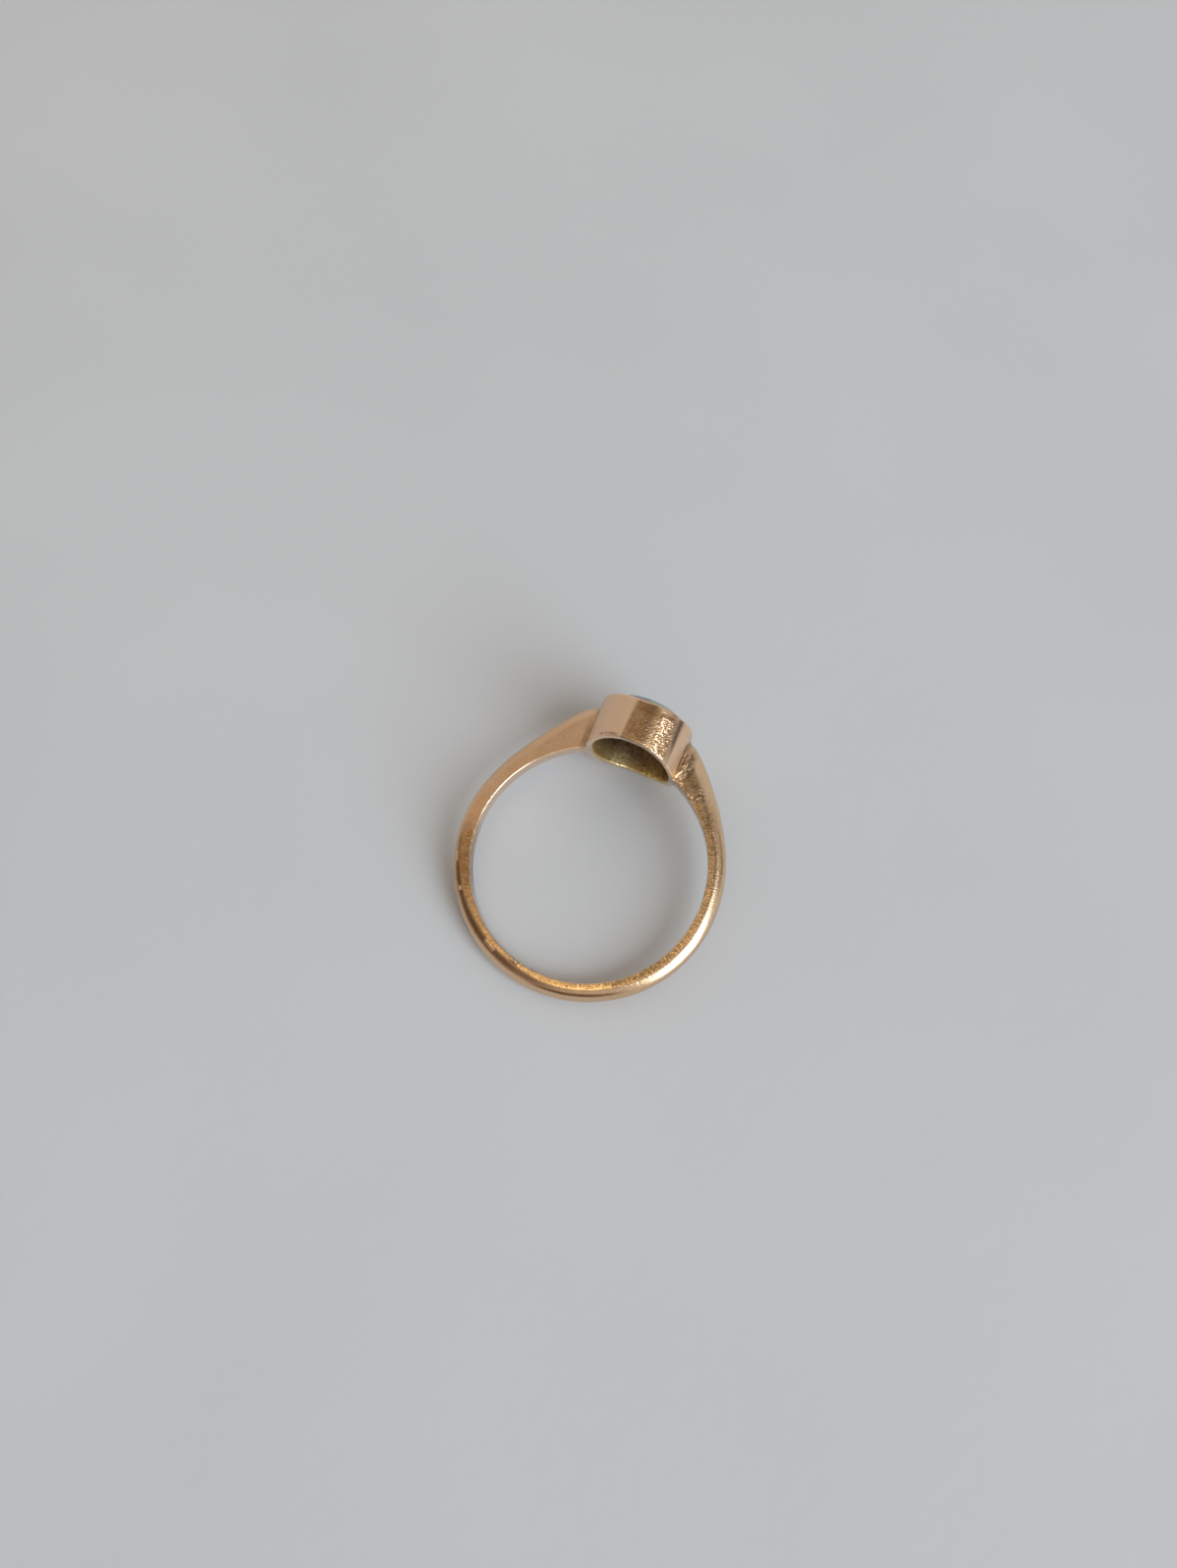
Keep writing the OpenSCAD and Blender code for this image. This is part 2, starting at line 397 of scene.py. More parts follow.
def oval_arc(count=721):
    """Way along the collet's oval, from its upper end, against the direction from its middle."""
    turn = np.linspace(-math.pi, math.pi, count)
    reach = (np.abs(np.sin(turn)) ** OVAL_N + np.abs(np.cos(turn)) ** OVAL_N) ** (-1 / OVAL_N)
    steps = np.hypot(np.diff(COLLET_A * np.sin(turn) * reach), np.diff(COLLET_B * np.cos(turn) * reach))
    way = np.concatenate([[0], np.cumsum(steps)])
    return turn, way - way[count // 2]


ARC = oval_arc()
RISE_RIGHT = eased(SECTIONS[:, 1])
RISE_LEFT = eased(SECTIONS[:, 2])
SPREAD = eased(SECTIONS[:, 3])


def oval_distance(x, z, a, b):
    """Distance outside an oval with half sizes a and b, to first order."""
    u, v = np.abs(x) / a + 1e-6, np.abs(z) / b + 1e-6
    q = (u ** OVAL_N + v ** OVAL_N) ** (1 / OVAL_N)
    slope = np.hypot((u / q) ** (OVAL_N - 1) / a, (v / q) ** (OVAL_N - 1) / b)
    return (q - 1) / slope


def band_distance(x, y, z):
    """Shank and shoulders: flat inside and at the sides, rounded outside."""
    away = np.degrees(np.arctan2(np.abs(x), y))
    rise = np.where(x > 0, np.interp(away, *RISE_RIGHT), np.interp(away, *RISE_LEFT))
    thick = SHANK_T + (SHOULDER_T - SHANK_T) * rise
    half = (SHANK_W + (SHOULDER_W - SHANK_W) * np.interp(away, *SPREAD)) / 2
    out = np.hypot(x, y) - FINGER_R
    signed = np.where(x > 0, away, -away)
    arc_r, reach, bend = [np.interp(signed, CROWN[:, 0], CROWN[:, k]) for k in (1, 2, 3)]
    squash = bend * np.where(arc_r > 1, np.sqrt(np.maximum(2 * arc_r - 1, 1)), arc_r) / reach
    over = np.maximum(out - (thick - half * reach), 0) * squash
    side = np.hypot(over, np.maximum(np.abs(z) + half * (arc_r - 1), 0)) - half * arc_r
    side = smooth_max(side, out - thick, SOFT_OUTER)
    return smooth_max(side, -out, np.where(z > 0, SOFT_INNER, SOFT_UNDER))


def collet_distance(x, y, z):
    """The collet's outside as a block, not yet hollow."""
    out = np.hypot(x, y) - FINGER_R
    wall = smooth_max(oval_distance(x, z, COLLET_A, COLLET_B), y - RIM_Y, SOFT_TOP)
    return np.maximum(smooth_max(wall, -out, SOFT_RIM), -y)


def hollow_distance(x, y, z):
    """What is open in the collet: back, ledge hole, the stone's seat and the lip's mouth."""
    lean = LIP_IN * np.clip((y - GIRDLE_TOP_Y) / LIP_H, 0, 2)
    inside = oval_distance(x, z, COLLET_A - WALL_T, COLLET_B - WALL_T)
    through = oval_distance(x, z, COLLET_A - WALL_T - LEDGE_W, COLLET_B - WALL_T - LEDGE_W)
    open_back = oval_distance(x, z, COLLET_A - BACK_WALL_T, COLLET_B - BACK_WALL_T)
    back = smooth_max(open_back, y - LEDGE_LOW_Y, SOFT_HOLLOW)
    seat = smooth_max(inside + lean, LEDGE_TOP_Y - y, SOFT_HOLLOW)
    return np.maximum(np.minimum(np.minimum(back, seat), through), -y)


def wave_table(count, shortest, longest, seed):
    """Random plane waves: direction and frequency in a row, with a phase."""
    rng = np.random.default_rng(seed)
    ways = rng.normal(size=(count, 3))
    ways /= np.linalg.norm(ways, axis=1)[:, None]
    lengths = np.exp(rng.uniform(math.log(shortest), math.log(longest), count))
    return ways * (2 * math.pi / lengths)[:, None], rng.uniform(0, 2 * math.pi, count)


def waves(x, y, z, table):
    """Smooth noise between about -1 and 1, as a sum of plane waves."""
    ways, phases = table
    total = np.zeros_like(x)
    for way, phase in zip(ways, phases):
        total += np.cos(way[0] * x + way[1] * y + way[2] * z + phase)
    return total / math.sqrt(len(phases))


HANDWORK = wave_table(count=14, shortest=1.4, longest=5.0, seed=7)


def groove_share(x, y, z, spread):
    """How deep a point lies in the collet's groove, which widens up to the rim."""
    width = spread * np.interp(y, (FINGER_R, RIM_Y), GROOVE_W)
    fade = np.clip((y - FINGER_R) / GROOVE_FADE, 0, 1)
    return np.exp(-((x - GROOVE_X) ** 2 + (z - GROOVE_Z) ** 2) / width ** 2) * fade


def metal_distance(x, y, z):
    """Distance to the whole gold body, negative inside."""
    body = smooth_min(band_distance(x, y, z), collet_distance(x, y, z), SOLDER)
    body = smooth_max(body, FINGER_R - np.hypot(x, y), SOFT_BORE)
    body = smooth_max(body, -hollow_distance(x, y, z), SOFT_MOUTH)
    body = body + WAVE * (waves(x, y, z, HANDWORK) * 0.5 + 1)
    return body + GROOVE_DEPTH * groove_share(x, y, z, 1)


def slopes(field, points, step=0.01):
    """Value, gradient and curvature of a field at points."""
    here = field(*points.T)
    grad = np.empty_like(points)
    bend = -6 * here
    for k in range(3):
        ahead, behind = points.copy(), points.copy()
        ahead[:, k] += step
        behind[:, k] -= step
        fa, fb = field(*ahead.T), field(*behind.T)
        grad[:, k] = (fa - fb) / (2 * step)
        bend += fa + fb
    return here, grad, bend / step ** 2


def sample(field, low, high, cell):
    """The field on a regular grid, layer by layer."""
    axes = [np.arange(low[k], high[k] + cell, cell) for k in range(3)]
    x, y = np.meshgrid(axes[0], axes[1], indexing="ij")
    values = np.empty((len(axes[0]), len(axes[1]), len(axes[2])), np.float32)
    for k, z in enumerate(axes[2]):
        values[:, :, k] = field(x, y, np.full_like(x, z))
    return values


def surface_net(values, low, cell):
    """Points and four-sided faces of the surface where the sampled field changes sign."""
    inside = values < 0
    shape = np.array(values.shape) - 1
    corners = [(a, b, c) for a in (0, 1) for b in (0, 1) for c in (0, 1)]
    part = [slice(0, -1), slice(1, None)]
    count = sum(inside[part[a], part[b], part[c]].astype(np.int8) for a, b, c in corners)
    mixed = (count > 0) & (count < 8)
    number = np.full(shape, -1, np.int64)
    number[mixed] = np.arange(mixed.sum())
    cells = np.argwhere(mixed)
    total = np.zeros((len(cells), 3))
    hits = np.zeros(len(cells))
    for a in corners:
        for k in range(3):
            if a[k]:
                continue
            b = tuple(1 if j == k else a[j] for j in range(3))
            fa = values[tuple((cells + a).T)]
            fb = values[tuple((cells + b).T)]
            crossed = (fa < 0) != (fb < 0)
            share = np.where(crossed, fa / np.where(crossed, fa - fb, 1), 0)
            place = np.array(a, float) + share[:, None] * (np.array(b) - np.array(a))
            total += place * crossed[:, None]
            hits += crossed
    points = low + (cells + total / hits[:, None]) * cell
    faces = []
    for k in range(3):
        j, i = (k + 1) % 3, (k + 2) % 3
        ahead = np.moveaxis(inside, k, 0)
        crossed = np.moveaxis(ahead[:-1] != ahead[1:], 0, k)
        edges = np.argwhere(crossed)
        edges = edges[(edges[:, j] > 0) & (edges[:, i] > 0)]
        edges = edges[(edges[:, j] < shape[j]) & (edges[:, i] < shape[i])]
        ring = []
        for dj, di in ((-1, -1), (0, -1), (0, 0), (-1, 0)):
            cell_of = edges.copy()
            cell_of[:, j] += dj
            cell_of[:, i] += di
            ring.append(number[tuple(cell_of.T)])
        quads = np.stack(ring, 1)
        leaving = inside[tuple(edges.T)]
        quads[~leaving] = quads[~leaving][:, ::-1]
        faces.append(quads)
    return points, np.concatenate(faces)


def settle(field, points, faces, rounds, cell):
    """Evens the points out along the surface, and puts them back on it in two steps each round."""
    for _ in range(rounds):
        total = np.zeros_like(points)
        hits = np.zeros(len(points))
        for k in range(4):
            for other in (1, 3):
                np.add.at(total, faces[:, k], points[faces[:, (k + other) % 4]])
                np.add.at(hits, faces[:, k], 1)
        points = points + 0.5 * (total / hits[:, None] - points)
        for _ in range(2):
            value, grad, _ = slopes(field, points)
            step = value[:, None] * grad / np.maximum((grad ** 2).sum(1), 0.2)[:, None]
            length = np.linalg.norm(step, axis=1, keepdims=True)
            points = points - step * np.minimum(1, cell / np.maximum(length, 1e-9))
    return points


def add_values(mesh, name, values):
    """A named value for each point, which the materials read."""
    kind = "FLOAT_VECTOR" if values.ndim == 2 else "FLOAT"
    layer = mesh.attributes.new(name, kind, "POINT")
    layer.data.foreach_set("vector" if values.ndim == 2 else "value", values.astype(np.float32).ravel())


def make_object(name, points, faces, normals=None):
    """A mesh object from points of the ring's frame, smooth all over."""
    mesh = bpy.data.meshes.new(name)
    mesh.from_pydata(to_cad(points).tolist(), [], [list(map(int, f)) for f in faces])
    mesh.polygons.foreach_set("use_smooth", [True] * len(mesh.polygons))
    add_values(mesh, "place", points)
    if normals is not None:
        turned = to_cad(normals) / MM
        mesh.normals_split_custom_set_from_vertices(turned.tolist())
    mesh.update()
    obj = bpy.data.objects.new(name, mesh)
    bpy.context.scene.collection.objects.link(obj)
    return obj


def marked(points, marks):
    """How strongly each point is worn by a table of soft spots."""
    total = np.zeros(len(points))
    for place, reach, strength in marks:
        total = np.maximum(total, strength * np.exp(-(((points - place) / reach) ** 2).sum(1)))
    return total


def lined(points, lines):
    """How strongly each point lies on one of a table of soft lines."""
    total = np.zeros(len(points))
    for start, end, half_width, strength in lines:
        way = np.array(end) - start
        share = np.clip((points - start) @ way / (way @ way), 0, 1)
        off = np.linalg.norm(points - start - share[:, None] * way, axis=1)
        total = np.maximum(total, strength * np.exp(-(off / half_width) ** 2))
    return total


def boxed(along, up, marks):
    """How strongly each point of the collet's wall lies in a table of soft edged fields."""
    total = np.zeros_like(along)
    for (mid_along, mid_up), (half_along, half_up), soft, strength in marks:
        inside_along = np.clip((half_along - np.abs(along - mid_along)) / soft + 0.5, 0, 1)
        inside_up = np.clip((half_up - np.abs(up - mid_up)) / soft + 0.5, 0, 1)
        total = np.maximum(total, strength * inside_along * inside_up)
    return total


def wall_values(x, y, z, out, on_wall):
    """The way along the oval, and the brown film and the solder line of the collet's wall."""
    arc = np.interp(np.arctan2(x / COLLET_A, z / COLLET_B), *ARC)
    film = boxed(arc - TARNISH_SLANT * (y - FINGER_R), y, TARNISH)
    line = np.exp(-((out - SOLDER_LINE_OUT) / SOLDER_LINE_W) ** 2) * on_wall
    line = line * np.clip((arc - SOLDER_LINE[0]) / SOLDER_LINE_SOFT, 0, 1)
    line = line * np.clip((SOLDER_LINE[1] - arc) / SOLDER_LINE_SOFT, 0, 1)
    return arc, film, line


def stroke_places(x, y, z, out, arc, on_wall):
    """Places stretched so that noise makes small strokes across the band or aslant round the collet."""
    lean = math.radians(STROKE_LEAN)
    wall_up = y * math.cos(lean) - arc * math.sin(lean)
    wall_on = arc * math.cos(lean) + y * math.sin(lean)
    walled = np.column_stack([wall_up, STROKE_STRETCH * wall_on, 0 * z])
    ring_r = (FINGER_R + STROKE_STRETCH * out) / (FINGER_R + out)
    banded = np.column_stack([x * ring_r, y * ring_r, STROKE_STRETCH * z])
    return np.where(on_wall[:, None], walled, banded)


def gold_values(points, bend):
    """What the gold's finish is worked out from, by name, for each point."""
    x, y, z = points.T
    band, collet = band_distance(x, y, z), collet_distance(x, y, z)
    on_wall = (np.abs(collet) < np.abs(band)) & (y > 0)
    out = np.hypot(x, y) - FINGER_R
    arc, wall_film, line = wall_values(x, y, z, out, on_wall)
    hollow = np.clip((HOLLOW_PAST - hollow_distance(x, y, z)) / HOLLOW_SOFT, 0, 1)
    metal = 1 - hollow
    seam = np.exp(-(np.maximum(np.abs(band), np.abs(collet)) / SEAM_W) ** 2) * (y > 0)
    seam = seam * np.clip(out / SEAM_FULL, SEAM_LEAST, 1)
    turn = np.degrees(np.arctan2(x, y))
    wear_and_painted_light, grain, reach, pale, satin = [np.interp(turn, WEAR_AND_PAINTED_LIGHT[:, 0], WEAR_AND_PAINTED_LIGHT[:, k]) for k in range(1, 6)]
    within = np.clip((reach - out) / WEAR_SOFT + 0.5, 0, 1)
    # Brown film; on the band's left it is also painted shade
    film = np.maximum(np.where(on_wall, wall_film, wear_and_painted_light * within), marked(points, PATINA_MARKS))
    bore = np.exp(-np.maximum(out - BORE_FULL, 0) / BORE_SOFT)
    grain = grain * (GRAIN_BEYOND + (1 - GRAIN_BEYOND) * within) * (1 - BORE_POLISH * bore)
    burnt = np.maximum(marked(points, BURNT_MARKS), np.maximum(line, lined(points, BURNT_LINES)))
    across, along = SCRATCH_ACROSS, SCRATCH_ALONG
    return {
        "seam": seam * metal,
        "groove": groove_share(x, y, z, GROOVE_DARK_SPREAD) * metal,
        "hollow": hollow,
        "edge": np.clip(bend / EDGE_BEND, -1, 1),
        "bore": bore * metal,
        "patina_and_painted_shade": film * metal,
        # paler beyond the wear's reach, a painted sheen
        "pale": np.where(on_wall, 0, pale * (1 - within)),
        "olive": np.clip(x - OLIVE_SLANT * y - OLIVE_FROM, 0, 1),
        "satin": np.where(on_wall, 0, satin * (1 - within)),
        "ridge_and_glint": lined(points, RIDGES_AND_GLINTS),
        "burnt": burnt * metal,
        "clean": boxed(arc, y, CLEAN_WALL) * on_wall * metal,
        "grain": np.where(on_wall, WALL_GRAIN, grain),
        "dent": np.where(on_wall, boxed(arc, y, DENTED_WALL), marked(points, DENT_MARKS)),
        "pit": marked(points, PIT_MARKS),
        "scratch": np.column_stack([across * out + along * x, across * z + along * y, 0 * z]),
        "stroke": stroke_places(x, y, z, out, arc, on_wall),
    }


def build_gold():
    """The soldered gold body with the values that its finish is worked out from."""
    edge = 3 * CELL
    low = np.array([-(FINGER_R + SHANK_T) - edge, -(FINGER_R + SHANK_T) - edge, -COLLET_B - edge])
    high = np.array([FINGER_R + SHANK_T + edge, RIM_Y + edge, COLLET_B + edge])
    points, faces = surface_net(sample(metal_distance, low, high, CELL), low, CELL)
    points = settle(metal_distance, points, faces, SETTLE_ROUNDS, CELL)
    _, grad, bend = slopes(metal_distance, points)
    normals = grad / np.linalg.norm(grad, axis=1, keepdims=True)
    gold = make_object("gold_body", points, faces, normals)
    for name, values in gold_values(points, bend).items():
        add_values(gold.data, name, values)
    return gold


def build_stone():
    """The cabochon: flat back, upright edge and a smooth dome."""
    sides = STONE_SIDES
    turn = np.linspace(0, 2 * math.pi, sides, endpoint=False)
    cx = np.sign(np.cos(turn)) * np.abs(np.cos(turn)) ** (2 / OVAL_N)
    cz = np.sign(np.sin(turn)) * np.abs(np.sin(turn)) ** (2 / OVAL_N)
    half_w, half_l = STONE_W / 2, STONE_L / 2
    girdle = GIRDLE_TOP_Y - STONE_GAP
    # Each level: its way up and how much its oval is grown. The flat back is closed in two steps
    levels = [(STONE_BACK_Y, -0.9 * half_w), (STONE_BACK_Y, -0.5 * half_w)]
    levels += [(STONE_BACK_Y, -STONE_CHAMFER), (STONE_BACK_Y + STONE_CHAMFER, 0), (girdle - DOME_LEAD, 0)]
    for k in range(DOME_RINGS):
        a = math.radians(DOME_STOP) * k / (DOME_RINGS - 1)
        rise, left = math.sin(a) ** DOME_FULL, math.cos(a) ** DOME_FULL
        levels.append((girdle + DOME_H * rise, -half_w * (1 - left)))
    points = []
    for level, grow in levels:
        points.append(np.stack([(half_w + grow) * cx, np.full(sides, level), (half_l + grow) * cz], 1))
    faces = []
    for k in range(len(levels) - 1):
        for i in range(sides):
            j = (i + 1) % sides
            faces.append((k * sides + i, k * sides + j, (k + 1) * sides + j, (k + 1) * sides + i))
    last = (len(levels) - 1) * sides
    faces.append(list(range(sides))[::-1])
    faces.append([last + i for i in range(sides)])
    return make_object("opal_stone", np.concatenate(points), faces)


class Nodes:
    """Short calls for building the node tree of a material or a world."""

    def __init__(self, owner):
        owner.use_nodes = True
        self.tree = owner.node_tree
        self.tree.nodes.clear()

    def put(self, socket, value):
        """Sets a socket from a number, a vector, a colour or another node's output."""
        if isinstance(value, bpy.types.NodeSocket):
            self.tree.links.new(value, socket)
        elif hasattr(value, "__len__") and len(value) == 3 and len(socket.default_value) == 4:
            socket.default_value = (*value, 1)
        else:
            socket.default_value = value

    def add(self, kind, inputs=(), **settings):
        """A new node with its settings, and its inputs by name or number."""
        node = self.tree.nodes.new(kind)
        for key, value in settings.items():
            setattr(node, key, value)
        for key, value in dict(inputs).items():
            self.put(node.inputs[key], value)
        return node

    def read(self, name):
        """One of the mesh's own values."""
        node = self.add("ShaderNodeAttribute", attribute_name=name)
        return node.outputs["Vector"] if name in ("place", "scratch", "stroke") else node.outputs["Fac"]

    def math(self, operation, a, b, clamp=False):
        return self.add("ShaderNodeMath", {0: a, 1: b}, operation=operation, use_clamp=clamp).outputs[0]

    def times(self, a, b):
        return self.math("MULTIPLY", a, b)

    def plus(self, a, b, clamp=False):
        return self.math("ADD", a, b, clamp)

    def noise(self, vector, scale, detail, roughness=0.5, distortion=0):
        node = self.add("ShaderNodeTexNoise", {
            "Vector": vector, "Scale": scale, "Detail": detail, "Roughness": roughness,
            "Distortion": distortion})
        return node.outputs["Fac"]

    def cells(self, vector, scale, out="Distance"):
        node = self.add("ShaderNodeTexVoronoi", {"Vector": vector, "Scale": scale}, feature="F1")
        return node.outputs[out]

    def ramp(self, value, low, high, to_low=0.0, to_high=1.0):
        """Maps low..high to to_low..to_high and holds it there."""
        node = self.add("ShaderNodeMapRange", {
            "Value": value, "From Min": low, "From Max": high, "To Min": to_low, "To Max": to_high})
        return node.outputs[0]

    def mix(self, share, a, b):
        """From colour a to colour b."""
        return self.add("ShaderNodeMix", {0: share, 6: a, 7: b}, data_type="RGBA").outputs[2]

    def bump(self, height, distance):
        node = self.add("ShaderNodeBump", {"Height": height, "Strength": 1.0, "Distance": distance})
        return node.outputs[0]


class Finish(Nodes):
    """The nodes of one new material, round one shader."""

    def __init__(self, name):
        self.material = bpy.data.materials.new(name)
        super().__init__(self.material)
        self.shader = self.add("ShaderNodeBsdfPrincipled")
        self.add("ShaderNodeOutputMaterial", {"Surface": self.shader.outputs[0]})

    def set(self, **values):
        """Sets the shader's inputs, named in small letters."""
        for key, value in values.items():
            self.put(self.shader.inputs[key.replace("_", " ").title()], value)


def gold_colour(n, place, film, dark, pits, wear_and_painted_light):
    """Rose to yellow gold, with brown film, on the band's left also painted shade, dark marks and pits
    over it, a paler colour with a painted sheen, painted highlights on its edges and at the finger hole,
    and painted glints on its ridges.
    """
    colour = n.mix(n.ramp(n.noise(place, 0.5, 3), 0.38, 0.66), ROSE_GOLD, YELLOW_GOLD)
    colour = n.mix(n.read("clean"), colour, CLEAN_GOLD)
    # painted sheen: paler beyond the wear's reach
    colour = n.mix(n.read("pale"), colour, PALE_SHEEN_GOLD)
    # painted highlight: the finger hole's edge made brighter
    colour = n.mix(n.times(n.read("bore"), 0.65), colour, BORE_HIGHLIGHT_GOLD)
    # brown film, on the band's left also painted shade
    colour = n.mix(film, colour, n.mix(n.read("olive"), BROWN_FILM, OLIVE_FILM))
    colour = n.mix(dark, colour, BURNT_BROWN)
    colour = n.mix(n.times(pits, 0.85), colour, PIT_BROWN)
    # painted highlight on rubbed edges
    colour = n.mix(wear_and_painted_light, colour, EDGE_HIGHLIGHT_GOLD)
    # painted glints on the ridges
    return n.mix(n.times(n.read("ridge_and_glint"), 0.8), colour, GLINT_GOLD)


def inside_colour(n, place, cloud):
    """The collet's inside: painted shade, dark behind the stone, and painted light, golden at the open
    end.
    """
    mottle = n.noise(place, 3.5, 5, 0.7)
    shaded = n.mix(n.ramp(mottle, 0.40, 0.60), *SHADED_INSIDE)
    lit = n.mix(n.ramp(mottle, 0.38, 0.60), *LIT_INSIDE)
    parted = n.add("ShaderNodeSeparateXYZ", {"Vector": place})
    up_wall = n.plus(parted.outputs["Y"], n.times(parted.outputs["X"], LIT_SLANT))
    inside = n.mix(n.ramp(n.plus(up_wall, n.times(cloud, 1.2)), *LIT_BELOW), lit, shaded)
    return n.mix(n.ramp(n.noise(place, 6.0, 4, 0.7), 0.56, 0.66), inside, DIRT_BROWN)


def gold_material():
    """Worn satin rose gold, brown in its seams, with painted highlights, glints and sheen on it, and
    painted shade and painted light inside the collet.
    """
    n = Finish("worn_gold")
    place, stroked = n.read("place"), n.read("stroke")
    clean, hollow, dent, grained = n.read("clean"), n.read("hollow"), n.read("dent"), n.read("grain")
    cloud = n.noise(place, 2.2, 5, 0.62)
    speck = n.noise(place, 9.0, 4, 0.65)
    stroke = n.noise(stroked, 8.5, 2, 0.55, 0.4)
    fine = n.noise(stroked, 11.0, 2, 0.6, 0.3)
    hill = n.noise(stroked, 9.5, 1, 0.5, 0.3)

    # Shares of brown film, of dark seams, marks and groove, of pits, and of rubbed edges made brighter as
    # a painted highlight
    spread = n.ramp(n.plus(n.times(cloud, 0.6), n.times(stroke, 0.4)), 0.40, 0.60, 0.72, 1.25)
    film = n.times(n.read("patina_and_painted_shade"), spread)
    film = n.plus(film, n.times(grained, n.ramp(stroke, 0.38, 0.58, 0.60, -0.20)))
    film = n.plus(film, n.times(dent, n.ramp(hill, 0.42, 0.56, 0.70, -0.60)))
    film = n.math("MULTIPLY", film, n.ramp(clean, 0, 1, 1, 0.15), clamp=True)
    dark = n.times(n.read("seam"), n.ramp(cloud, 0.25, 0.6, 0.30, 0.68))
    dark = n.math("MAXIMUM", dark, n.times(n.read("burnt"), n.ramp(stroke, 0.42, 0.56, 1.0, 0.32)))
    # darker in the groove
    dark = n.math("MAXIMUM", dark, n.times(n.read("groove"), n.ramp(speck, 0.3, 0.6, 1.0, 0.85)))
    pitted = n.ramp(n.plus(n.times(n.read("pit"), 0.55), speck), 0.60, 0.78)
    pits = n.times(n.ramp(n.cells(place, 5.5), 0.10, 0.26, 1, 0), pitted)
    # rubbed convex edges, made brighter as a painted highlight
    wear_and_painted_light = n.times(n.ramp(n.read("edge"), 0.25, 0.8), n.ramp(speck, 0.3, 0.6, 0.35, 0.85))
    colour = gold_colour(n, place, film, dark, pits, wear_and_painted_light)
    # painted shade and painted light inside the collet
    colour = n.mix(hollow, colour, inside_colour(n, place, cloud))

    rough = n.plus(n.ramp(cloud, 0.3, 0.72, 0.085, 0.17), n.times(film, 0.16))
    rough = n.plus(rough, n.times(n.ramp(speck, 0.45, 0.7), 0.05))
    rough = n.plus(rough, n.times(n.plus(hollow, n.times(dark, 0.6)), 0.25))
    rough = n.plus(rough, n.times(clean, 0.34))
    rough = n.plus(rough, n.times(dent, 0.06))
    rough = n.plus(rough, n.read("satin"))
    rough = n.plus(rough, n.times(n.read("bore"), -0.05))
    rough = n.plus(rough, n.times(wear_and_painted_light, -0.05), clamp=True)

    # Height in millimetres: long scratches, strokes, dents, pits and ridges
    height = n.times(n.noise(n.read("scratch"), 1.6, 4, 0.7), SCRATCH_H)
    height = n.plus(height, n.times(fine, n.ramp(grained, 0, 1, 0, FINE_H)))
    height = n.plus(height, n.times(stroke, n.ramp(grained, 0, 1, 0, STROKE_H)))
    height = n.plus(height, n.times(n.times(hill, dent), DENT_H))
    height = n.plus(height, n.times(pits, -PIT_H))
    height = n.plus(height, n.times(n.read("ridge_and_glint"), RIDGE_H))
    n.set(base_color=colour, metallic=1.0, roughness=rough, normal=n.bump(height, MM))
    return n.material


def opal_material():
    """Milky opal: grey blue with patches of violet, green and a little orange."""
    n = Finish("milky_opal")
    place = n.read("place")
    across = n.add("ShaderNodeSeparateXYZ", {"Vector": place}).outputs["X"]
    patch = n.plus(n.noise(place, 0.9, 2, 0.5, 0.6), n.times(across, 0.03))
    squeezed = n.add("ShaderNodeVectorMath", {0: place, 1: (1.0, 0.6, 1.0)}, operation="MULTIPLY")
    flake = n.cells(squeezed.outputs[0], 1.5, out="Color")
    split = n.add("ShaderNodeSeparateColor", {0: flake})
    colour = n.mix(n.ramp(patch, 0.40, 0.50), MILKY, VIOLET)
    lively = n.plus(n.times(split.outputs[0], 0.5), n.times(across, 0.14))
    colour = n.mix(n.ramp(lively, 0.34, 0.48, 0, 0.8), colour, GREEN)
    colour = n.mix(n.ramp(split.outputs[1], 0.86, 0.95, 0, 0.6), colour, ORANGE)
    n.set(base_color=colour, roughness=0.12, coat_weight=0.3, coat_roughness=0.05)
    n.set(subsurface_weight=0.25, subsurface_radius=(1.0, 1.2, 1.5), subsurface_scale=0.4 * MM)
    n.put(n.shader.inputs["IOR"], 1.45)
    return n.material


def floor_material():
    """Pale grey blue paper."""
    n = Finish("pale_paper")
    coords = n.add("ShaderNodeTexCoord").outputs["Object"]
    colour = n.mix(n.ramp(n.noise(coords, 30, 2), 0.3, 0.7), *PAPER)
    fibre = n.noise(coords, 900, 3)
    n.set(base_color=colour, roughness=0.9, normal=n.bump(fibre, PAPER_RELIEF * MM))
    n.put(n.shader.inputs["Specular IOR Level"], 0.2)
    return n.material


def build_floor():
    """A sheet of paper that the ring lies on."""
    h = FLOOR_SIZE / 2
    corners = [(-h, -h, FLOOR_Z), (h, -h, FLOOR_Z), (h, h, FLOOR_Z), (-h, h, FLOOR_Z)]
    mesh = bpy.data.meshes.new("floor")
    mesh.from_pydata(corners, [], [(0, 1, 2, 3)])
    floor = bpy.data.objects.new("floor", mesh)
    bpy.context.scene.collection.objects.link(floor)
    floor.data.materials.append(floor_material())


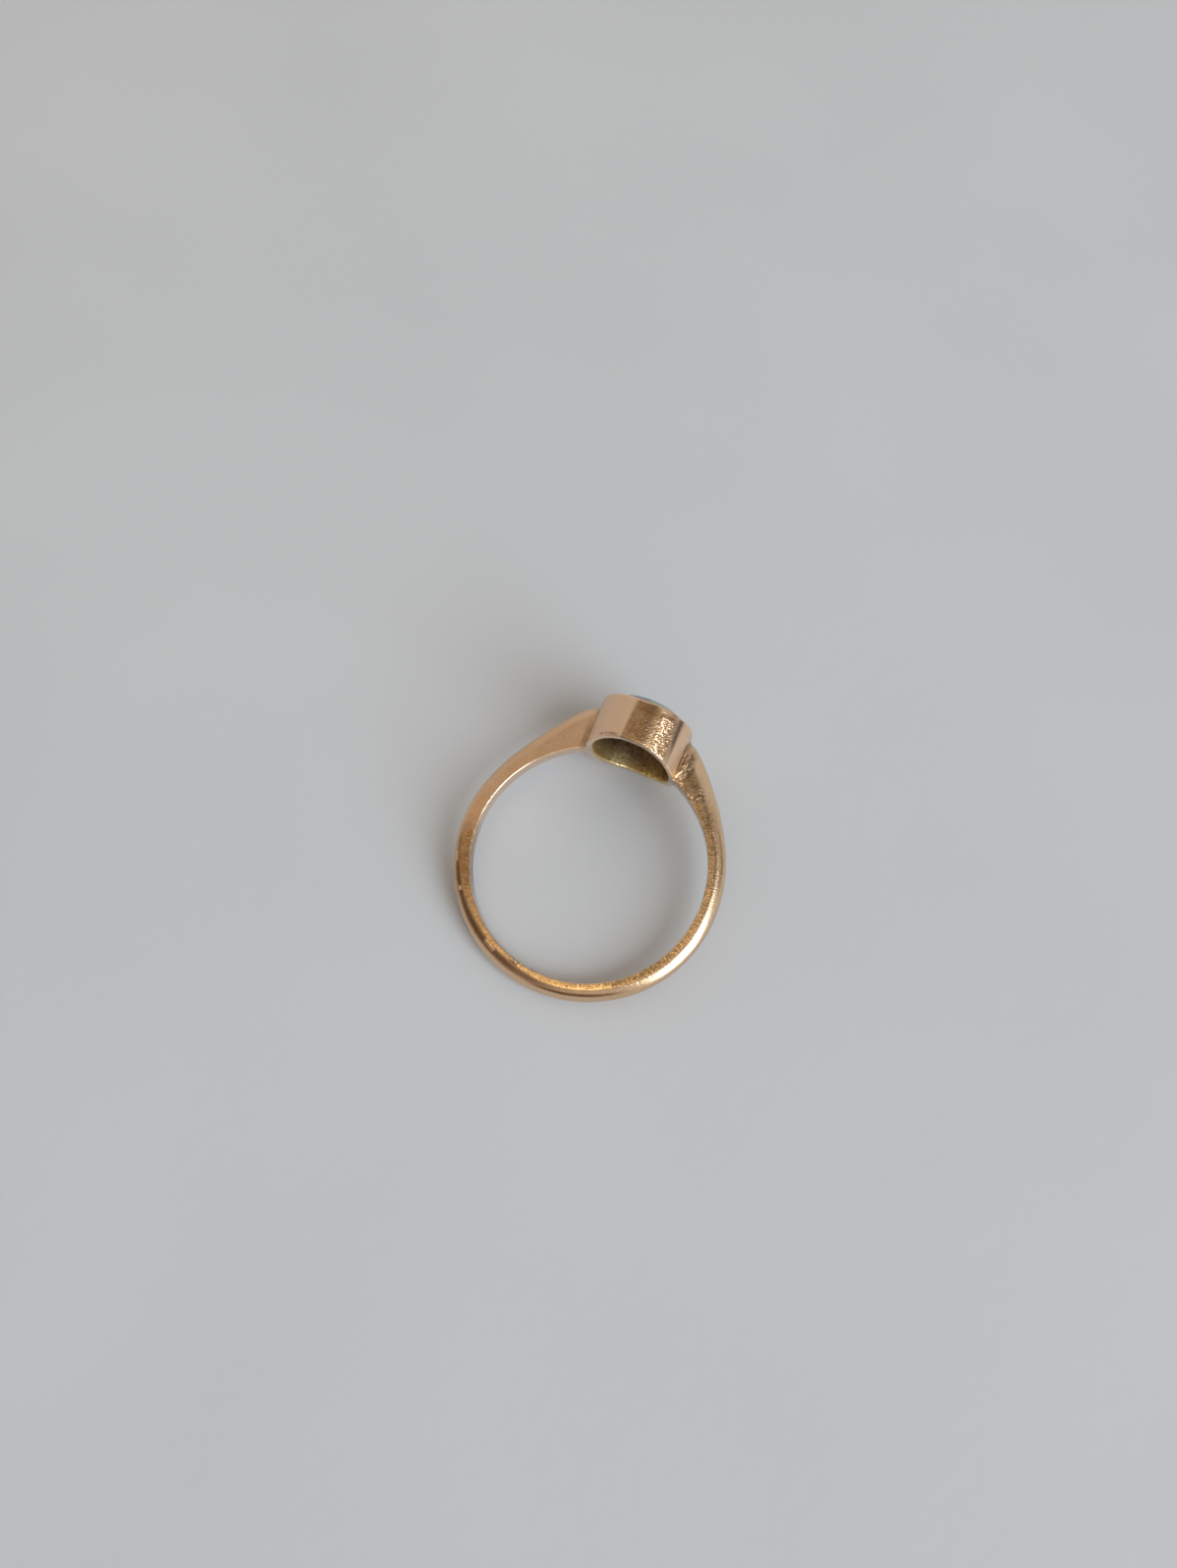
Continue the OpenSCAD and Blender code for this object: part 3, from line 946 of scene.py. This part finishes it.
def build_camera():
    """The camera at the photograph's place, with its focal length."""
    data = bpy.data.cameras.new("camera")
    data.sensor_width = SENSOR
    data.lens = FOCAL_PX * SENSOR / max(PHOTO_W, PHOTO_H)
    data.clip_start, data.clip_end = CAM_CLIP
    camera = bpy.data.objects.new("camera", data)
    tilt = Matrix.Rotation(math.radians(CAM_TILT), 4, "X")
    turn = Matrix.Rotation(math.radians(CAM_TURN), 4, "Z") @ tilt
    offset = Vector((-CAM_SHIFT[0], -CAM_SHIFT[1], CAM_FAR)) * MM
    camera.matrix_world = Matrix.Translation(turn.to_3x3() @ offset) @ turn
    bpy.context.scene.collection.objects.link(camera)
    bpy.context.scene.camera = camera


def toward(azimuth, elevation):
    """Unit vector of a way. Azimuth 0 is right and 90 is up in the photograph, elevation 90 overhead."""
    a, e = math.radians(azimuth + CAM_TURN), math.radians(elevation)
    return Vector((math.cos(a) * math.cos(e), math.sin(a) * math.cos(e), math.sin(e)))


def build_window():
    """A large soft window of one brightness."""
    data = bpy.data.lights.new("window", "AREA")
    data.shape = "RECTANGLE"
    data.size, data.size_y = WINDOW_SIZE
    data.energy = WINDOW_RADIANCE * math.pi * WINDOW_SIZE[0] * WINDOW_SIZE[1]
    data.color = WINDOW_COLOUR
    light = bpy.data.objects.new("window", data)
    way = toward(*WINDOW_WAY)
    light.location = way * WINDOW_FAR
    light.rotation_euler = way.to_track_quat("Z", "Y").to_euler()
    bpy.context.scene.collection.objects.link(light)


def build_room():
    """A room of one soft brightness with patches, which the camera itself doesn't see."""
    world = bpy.data.worlds.new("room")
    n = Nodes(world)
    seen = n.add("ShaderNodeTexCoord").outputs["Generated"]
    colour = ROOM_WALLS
    for way, full, ended, patch in ROOM_PATCHES:
        dot = n.add("ShaderNodeVectorMath", {0: seen, 1: toward(*way)}, operation="DOT_PRODUCT")
        share = n.add("ShaderNodeMapRange", {
            "Value": dot.outputs["Value"], "From Min": math.cos(math.radians(ended)),
            "From Max": math.cos(math.radians(full))}, interpolation_type="SMOOTHSTEP")
        colour = n.mix(share.outputs[0], colour, patch)
    straight = n.add("ShaderNodeLightPath").outputs["Is Camera Ray"]
    back = n.add("ShaderNodeBackground", {"Color": n.mix(straight, colour, ROOM_WALLS)})
    n.add("ShaderNodeOutputWorld", {"Surface": back.outputs[0]})
    bpy.context.scene.world = world
    bpy.context.scene.view_settings.view_transform = "Standard"


build_camera()
gold = build_gold()
gold.data.materials.append(gold_material())
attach(gold, "root")
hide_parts("gold_ring")

opal = build_stone()
opal.data.materials.append(opal_material())
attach(opal, "root")
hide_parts("opal_cabochon")

build_floor()
build_window()
build_room()
